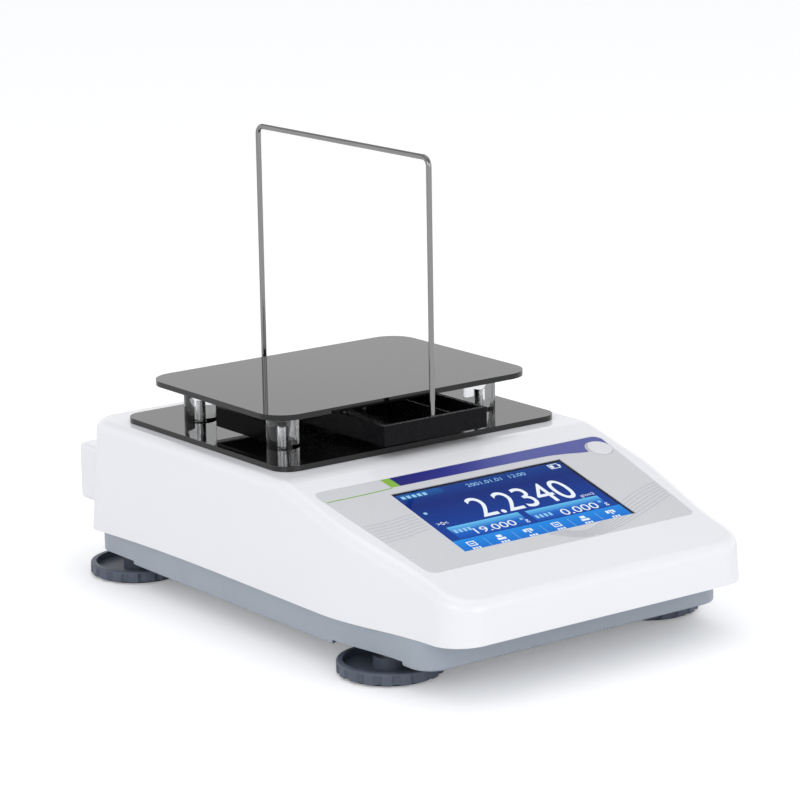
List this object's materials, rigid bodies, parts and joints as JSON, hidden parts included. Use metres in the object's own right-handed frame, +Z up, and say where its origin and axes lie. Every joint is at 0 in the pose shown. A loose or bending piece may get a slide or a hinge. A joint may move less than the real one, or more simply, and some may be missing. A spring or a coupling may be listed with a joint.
{
  "type": "digital liquid density meter",
  "caption": "Desk-top density balance: white casing with sloped touch panel, beaker platform on clear columns, wire hanging frame on a weighing tray, and screw feet.",
  "frame": {"origin": "on the table, under the middle of the instrument's overall width and depth", "axes": "+Z up, front with the touch panel towards -Y, +X to the right of a person who faces the panel"},
  "size_m": [0.2254, 0.3504, 0.2438],
  "materials": {
    "casing_white": "smooth gloss white",
    "base_grey": "fine-grained mid grey",
    "panel_print": "satin printed sheet, pale grey with a violet band",
    "panel_glass": "clear gloss",
    "display_dark": "lit dark-blue screen",
    "sheet_steel": "zinc-plated sheet",
    "screw_steel": "plated",
    "circuit_board": "green solder mask",
    "battery_wrap": "shrink wrap",
    "insert_brass": "turned",
    "connector_black": "moulded",
    "rocker_black": "moulded",
    "key_face": "satin",
    "plate_black": "high gloss black",
    "clear_acrylic": "polished clear",
    "cell_aluminium": "machined",
    "tray_black": "gloss black",
    "wire_steel": "polished stainless",
    "foot_grey": "dark grey moulded",
    "pad_rubber": "rubber",
    "level_clear": "clear vial with a bubble"
  },
  "bodies": {
    "base": {"top_casing": "casing_white", "base_tub": "base_grey", "panel_sheet": "panel_print", "touch_glass": "panel_glass", "display_module": "display_dark", "display_frame": "sheet_steel", "display_frame_screws": "screw_steel", "main_board": "circuit_board", "board_screws": "screw_steel", "key_board": "circuit_board", "battery_pack": "battery_wrap", "battery_door": "base_grey", "door_screws": "screw_steel", "foot_inserts": "insert_brass", "case_screws": "screw_steel", "port_cover": "casing_white", "port_cover_screws": "screw_steel", "power_jack": "connector_black", "data_socket": "connector_black", "power_switch_body": "connector_black", "lower_plate": "plate_black", "column_front_left": "clear_acrylic", "column_front_right": "clear_acrylic", "column_rear_left": "clear_acrylic", "column_rear_right": "clear_acrylic", "beaker_platform": "plate_black", "column_screws": "screw_steel", "cell_bed": "sheet_steel", "bed_screws": "screw_steel", "cell_block": "cell_aluminium", "load_cell": "cell_aluminium", "cell_fixed_screws": "screw_steel", "overload_stop": "screw_steel", "spirit_level": "level_clear"},
    "weighing": {"cell_spacer": "cell_aluminium", "tray_arm": "cell_aluminium", "tray_post": "cell_aluminium", "weighing_tray": "tray_black", "tray_screws": "screw_steel", "cell_live_screws": "screw_steel"},
    "frame": {"hanging_frame": "wire_steel"},
    "key": {"power_key": "key_face"},
    "rocker": {"power_rocker": "rocker_black"},
    "pad_front_left": {"foot_pad_front_left": "pad_rubber"},
    "foot_front_left": {"foot_wheel_front_left": "foot_grey", "foot_stud_front_left": "screw_steel"},
    "pad_front_right": {"foot_pad_front_right": "pad_rubber"},
    "foot_front_right": {"foot_wheel_front_right": "foot_grey", "foot_stud_front_right": "screw_steel"},
    "pad_rear_left": {"foot_pad_rear_left": "pad_rubber"},
    "foot_rear_left": {"foot_wheel_rear_left": "foot_grey", "foot_stud_rear_left": "screw_steel"},
    "pad_rear_right": {"foot_pad_rear_right": "pad_rubber"},
    "foot_rear_right": {"foot_wheel_rear_right": "foot_grey", "foot_stud_rear_right": "screw_steel"}
  },
  "joints": [
    {"name": "tray_press", "type": "slide", "parent": "base", "child": "weighing", "axis": [0, 0, 1], "range_m": [-0.0005, 0], "stiffness_N_per_m": 15000, "springref_m": 0.0005, "deforming": ["load_cell"]},
    {"name": "frame_lift_off", "type": "slide", "parent": "weighing", "child": "frame", "axis": [0, 0, 1], "range_m": [0, 0.03]},
    {"name": "power_key_press", "type": "slide", "parent": "base", "child": "key", "axis": [0, -0.2622, 0.965], "range_m": [-0.0008, 0], "stiffness_N_per_m": 600, "springref_m": 0.0006},
    {"name": "power_rocker_tip", "type": "hinge", "parent": "base", "child": "rocker", "pos_m": [0.045, 0.16825, 0.051], "axis": [1, 0, 0], "range_deg": [-16, 0]},
    {"name": "foot_front_left_height", "type": "slide", "parent": "base", "child": "pad_front_left", "axis": [0, 0, 1], "range_m": [-0.004, 0.0045]},
    {"name": "foot_front_left_turn", "type": "hinge", "parent": "pad_front_left", "child": "foot_front_left", "pos_m": [-0.0855, -0.10605, 0.003], "axis": [0, 0, 1], "range_deg": [-1150, 1290]},
    {"name": "foot_front_right_height", "type": "slide", "parent": "base", "child": "pad_front_right", "axis": [0, 0, 1], "range_m": [-0.004, 0.0045]},
    {"name": "foot_front_right_turn", "type": "hinge", "parent": "pad_front_right", "child": "foot_front_right", "pos_m": [0.0855, -0.10605, 0.003], "axis": [0, 0, 1], "range_deg": [-1150, 1290]},
    {"name": "foot_rear_left_height", "type": "slide", "parent": "base", "child": "pad_rear_left", "axis": [0, 0, 1], "range_m": [-0.004, 0.0045]},
    {"name": "foot_rear_left_turn", "type": "hinge", "parent": "pad_rear_left", "child": "foot_rear_left", "pos_m": [-0.0855, 0.12765, 0.003], "axis": [0, 0, 1], "range_deg": [-1150, 1290]},
    {"name": "foot_rear_right_height", "type": "slide", "parent": "base", "child": "pad_rear_right", "axis": [0, 0, 1], "range_m": [-0.004, 0.0045]},
    {"name": "foot_rear_right_turn", "type": "hinge", "parent": "pad_rear_right", "child": "foot_rear_right", "pos_m": [0.0855, 0.12765, 0.003], "axis": [0, 0, 1], "range_deg": [-1150, 1290]}
  ],
  "couplings": [
    {"joint": "foot_front_left_height", "follows": "foot_front_left_turn", "m_per_rad": 0.00019894},
    {"joint": "foot_front_right_height", "follows": "foot_front_right_turn", "m_per_rad": 0.00019894},
    {"joint": "foot_rear_left_height", "follows": "foot_rear_left_turn", "m_per_rad": 0.00019894},
    {"joint": "foot_rear_right_height", "follows": "foot_rear_right_turn", "m_per_rad": 0.00019894}
  ]
}
